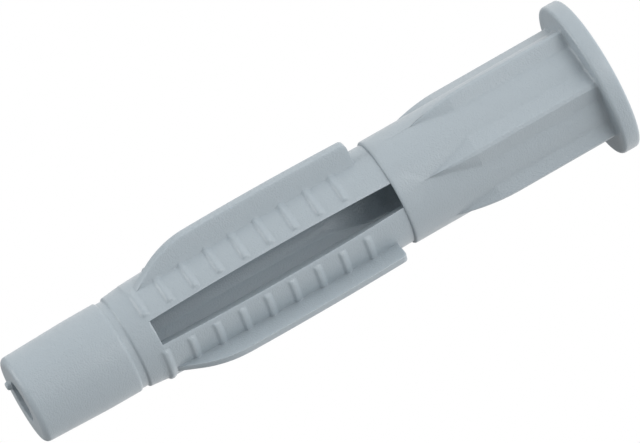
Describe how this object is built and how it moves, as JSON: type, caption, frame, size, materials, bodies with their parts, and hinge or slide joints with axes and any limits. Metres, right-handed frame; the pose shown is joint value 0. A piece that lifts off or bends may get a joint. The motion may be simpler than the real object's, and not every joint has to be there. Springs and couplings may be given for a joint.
{
  "type": "collar wall plug",
  "caption": "Moulded plastic wall plug: round collar, ridged sleeve, ribbed legs with fins that spread when a screw is driven in, and a tapered nose.",
  "frame": {"origin": "centre of the collar's outer face, the face a wall plug shows at the mouth of its hole", "axes": "+Z along the plug's axis from the collar to the nose; -Y through the middle of one of its slots"},
  "size_m": [0.0128, 0.0128, 0.0513],
  "materials": {
    "plug_plastic": "light blue-grey moulded plastic with a fine satin grain"
  },
  "bodies": {
    "root": {"wall_plug": "plug_plastic"}
  },
  "joints": []
}
